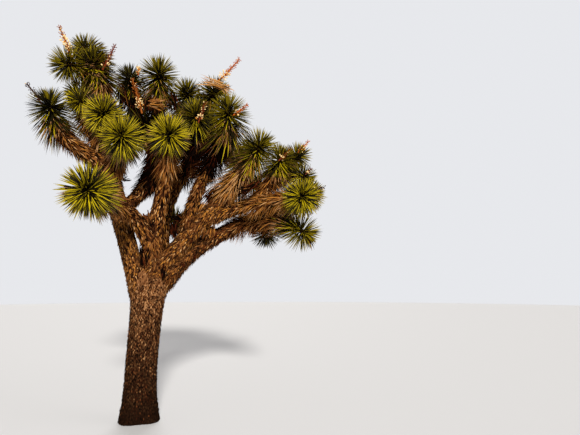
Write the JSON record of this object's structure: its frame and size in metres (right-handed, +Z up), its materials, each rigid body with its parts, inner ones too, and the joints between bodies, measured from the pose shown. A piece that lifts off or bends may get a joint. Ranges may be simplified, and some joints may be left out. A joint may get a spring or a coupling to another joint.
{
  "type": "joshua tree",
  "caption": "Forked desert tree with a bare corky trunk, boughs clothed in dead leaves, and round spiky leaf rosettes at the tips; cut flat at ground level.",
  "frame": {"origin": "middle of the flat cut under the trunk, at ground level", "axes": "+Z up along the trunk; -Y is the front, the side the picture was taken from; +X to the right seen from the front, where the crown leans"},
  "size_m": [3.5939, 2.9475, 4.7265],
  "materials": {
    "bark": "grey-brown corky bark broken into small upright plates, matt",
    "dead_leaf_thatch": "limb under dry golden-brown leaves that point back down it, matt",
    "leaf": "stiff dagger leaves, yellowish green, slightly waxy",
    "flower_stalk": "dried flower stalks with pale papery seed capsules, matt"
  },
  "bodies": {
    "root": {"trunk": "bark", "left_stem": "dead_leaf_thatch", "middle_stem": "dead_leaf_thatch", "low_right_bough": "dead_leaf_thatch", "right_stem": "dead_leaf_thatch", "low_front_bough": "dead_leaf_thatch", "centre_bough": "dead_leaf_thatch", "far_left_bough": "dead_leaf_thatch", "top_left_bough": "dead_leaf_thatch", "left_front_shoot": "dead_leaf_thatch", "left_mid_shoot": "dead_leaf_thatch", "rear_centre_bough": "dead_leaf_thatch", "rear_left_shoot": "dead_leaf_thatch", "inner_right_bough": "dead_leaf_thatch", "rear_right_bough": "dead_leaf_thatch", "rear_top_shoot": "dead_leaf_thatch", "right_bough": "dead_leaf_thatch", "right_upper_shoot": "dead_leaf_thatch", "far_right_shoot": "dead_leaf_thatch", "low_right_shoot": "dead_leaf_thatch", "low_rear_shoot": "dead_leaf_thatch", "back_centre_bough": "dead_leaf_thatch", "back_right_bough": "dead_leaf_thatch", "back_left_bough": "dead_leaf_thatch", "rosette_low_front": "leaf", "rosette_far_left": "leaf", "rosette_top_left": "leaf", "rosette_top_left_side": "leaf", "rosette_top_left_rear": "leaf", "rosette_left_rear": "leaf", "rosette_left_small": "leaf", "rosette_left_mid": "leaf", "rosette_left_front": "leaf", "rosette_centre": "leaf", "rosette_centre_dark": "leaf", "rosette_top_centre": "leaf", "rosette_top_centre_left": "leaf", "rosette_top_rear": "leaf", "rosette_inner_right": "leaf", "rosette_top_right": "leaf", "rosette_right_high": "leaf", "rosette_inner_small": "leaf", "rosette_right_shoulder": "leaf", "rosette_right_mid": "leaf", "rosette_right_far": "leaf", "rosette_right_small": "leaf", "rosette_right_front": "leaf", "rosette_right_tip": "leaf", "rosette_low_right": "leaf", "rosette_low_rear": "leaf", "rosette_gap_rear": "leaf", "rosette_back_left": "leaf", "rosette_back_left_inner": "leaf", "rosette_back_low_left": "leaf", "rosette_back_centre": "leaf", "rosette_back_centre_right": "leaf", "rosette_back_inner": "leaf", "rosette_back_right": "leaf", "rosette_back_far_right": "leaf", "rosette_back_low_right": "leaf"}
  },
  "joints": []
}
